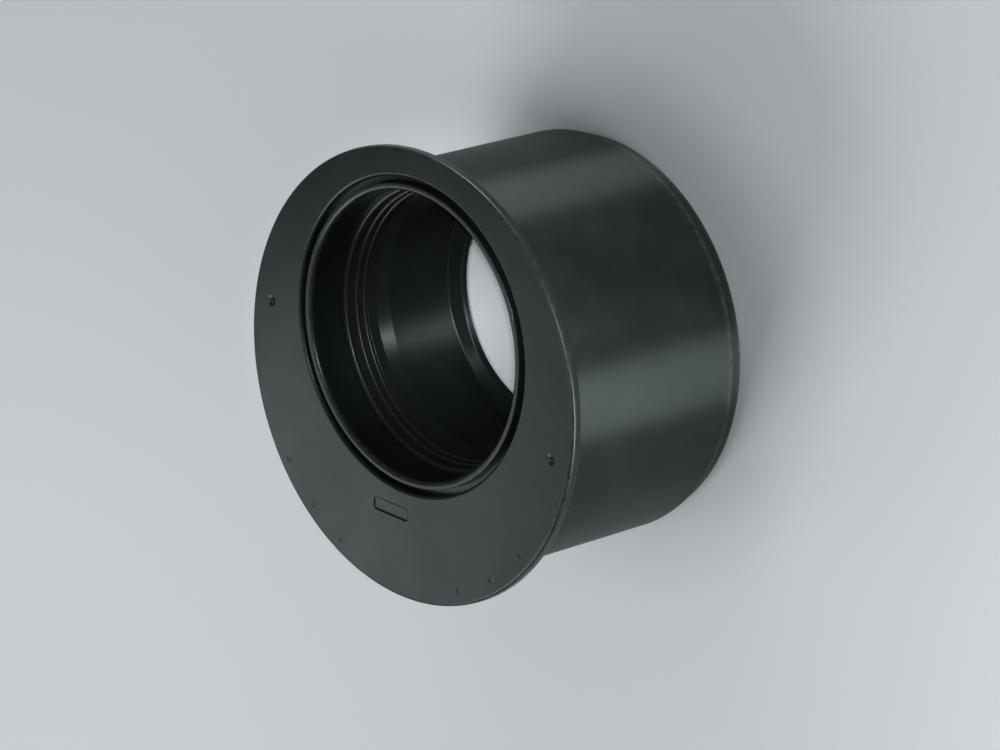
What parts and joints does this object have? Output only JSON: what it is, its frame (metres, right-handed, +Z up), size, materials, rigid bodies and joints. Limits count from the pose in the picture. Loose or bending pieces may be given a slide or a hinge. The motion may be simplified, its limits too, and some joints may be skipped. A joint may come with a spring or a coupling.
{
  "type": "short pipe reducer",
  "caption": "Short eccentric pipe reducer: a flanged spigot with an offset push-fit socket moulded inside it, sealed by a rubber lip ring behind a snap-in retaining ring.",
  "frame": {"origin": "centre of the spigot's open end, on the spigot's axis, where the fitting stands", "axes": "+Z up along the spigot's axis, out of the socket's mouth; +X towards the side that the socket's axis is offset to"},
  "size_m": [0.123, 0.123, 0.07],
  "materials": {
    "body_plastic": "satin, moulded black, glossier on the spigot",
    "ring_plastic": "satin, moulded black",
    "seal_rubber": "smooth, slightly lubricated"
  },
  "bodies": {
    "root": {"reducer_body": "body_plastic", "retaining_ring": "ring_plastic", "lip_seal": "seal_rubber"}
  },
  "joints": []
}
